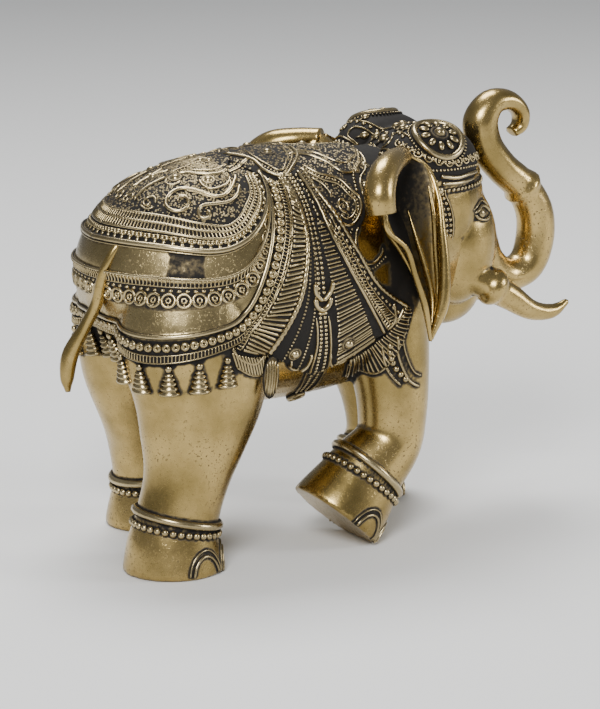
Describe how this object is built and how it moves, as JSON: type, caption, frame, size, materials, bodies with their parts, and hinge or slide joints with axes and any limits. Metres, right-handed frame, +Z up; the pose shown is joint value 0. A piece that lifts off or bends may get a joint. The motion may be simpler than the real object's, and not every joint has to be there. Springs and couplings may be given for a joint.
{
  "type": "elephant statue",
  "caption": "Cast brass elephant in a ceremonial saddlecloth, striding with its trunk raised and curled, tasselled and beaded all over.",
  "frame": {"origin": "on the floor under the middle of the figure's bounding box", "axes": "+X towards the head and raised trunk, +Y to the figure's left, +Z up"},
  "size_m": [0.1532, 0.0818, 0.1134],
  "materials": {
    "elephant": "antique satin, dark brown patina in the recesses"
  },
  "bodies": {
    "root": {"elephant": "elephant"}
  },
  "joints": []
}
